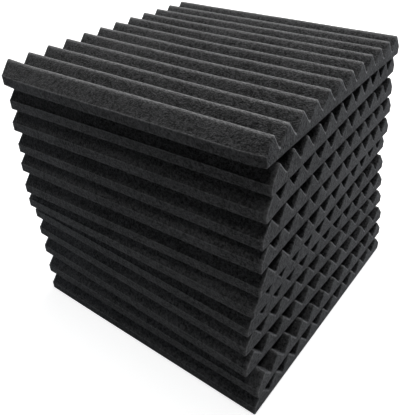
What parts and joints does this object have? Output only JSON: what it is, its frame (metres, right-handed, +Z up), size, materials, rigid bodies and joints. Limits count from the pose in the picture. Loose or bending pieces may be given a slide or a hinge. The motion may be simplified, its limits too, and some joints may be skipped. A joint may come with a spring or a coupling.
{
  "type": "acoustic foam panel stack",
  "caption": "Square stack of loose charcoal acoustic foam panels, each with a flat back and parallel wedge ridges.",
  "frame": {"origin": "centre of the lowest panel's flat back, on the surface that the stack rests on", "axes": "+Z up, through the panels. The ridges run along X, and the wedge profile lies in the YZ plane. The picture sees the long first ridges from -Y and the cut ends of the ridges from +X."},
  "size_m": [0.3261, 0.3268, 0.2937],
  "materials": {
    "foam": "matte charcoal open-cell polyurethane foam, cut faces with fine pores"
  },
  "bodies": {
    "panel_01": {"panel_01": "foam"},
    "panel_02": {"panel_02": "foam"},
    "panel_03": {"panel_03": "foam"},
    "panel_04": {"panel_04": "foam"},
    "panel_05": {"panel_05": "foam"},
    "panel_06": {"panel_06": "foam"},
    "panel_07": {"panel_07": "foam"},
    "panel_08": {"panel_08": "foam"},
    "panel_09": {"panel_09": "foam"},
    "panel_10": {"panel_10": "foam"},
    "panel_11": {"panel_11": "foam"},
    "panel_12": {"panel_12": "foam"}
  },
  "joints": [
    {"name": "lift_02", "type": "slide", "parent": "panel_01", "child": "panel_02", "axis": [0, 0, 1], "range_m": [0, 0.05]},
    {"name": "lift_03", "type": "slide", "parent": "panel_02", "child": "panel_03", "axis": [0, 0, 1], "range_m": [0, 0.05]},
    {"name": "lift_04", "type": "slide", "parent": "panel_03", "child": "panel_04", "axis": [0, 0, 1], "range_m": [0, 0.05]},
    {"name": "lift_05", "type": "slide", "parent": "panel_04", "child": "panel_05", "axis": [0, 0, 1], "range_m": [0, 0.05]},
    {"name": "lift_06", "type": "slide", "parent": "panel_05", "child": "panel_06", "axis": [0, 0, 1], "range_m": [0, 0.05]},
    {"name": "lift_07", "type": "slide", "parent": "panel_06", "child": "panel_07", "axis": [0, 0, 1], "range_m": [0, 0.05]},
    {"name": "lift_08", "type": "slide", "parent": "panel_07", "child": "panel_08", "axis": [0, 0, 1], "range_m": [0, 0.05]},
    {"name": "lift_09", "type": "slide", "parent": "panel_08", "child": "panel_09", "axis": [0, 0, 1], "range_m": [0, 0.05]},
    {"name": "lift_10", "type": "slide", "parent": "panel_09", "child": "panel_10", "axis": [0, 0, 1], "range_m": [0, 0.05]},
    {"name": "lift_11", "type": "slide", "parent": "panel_10", "child": "panel_11", "axis": [0, 0, 1], "range_m": [0, 0.05]},
    {"name": "lift_12", "type": "slide", "parent": "panel_11", "child": "panel_12", "axis": [0, 0, 1], "range_m": [0, 0.05]}
  ]
}
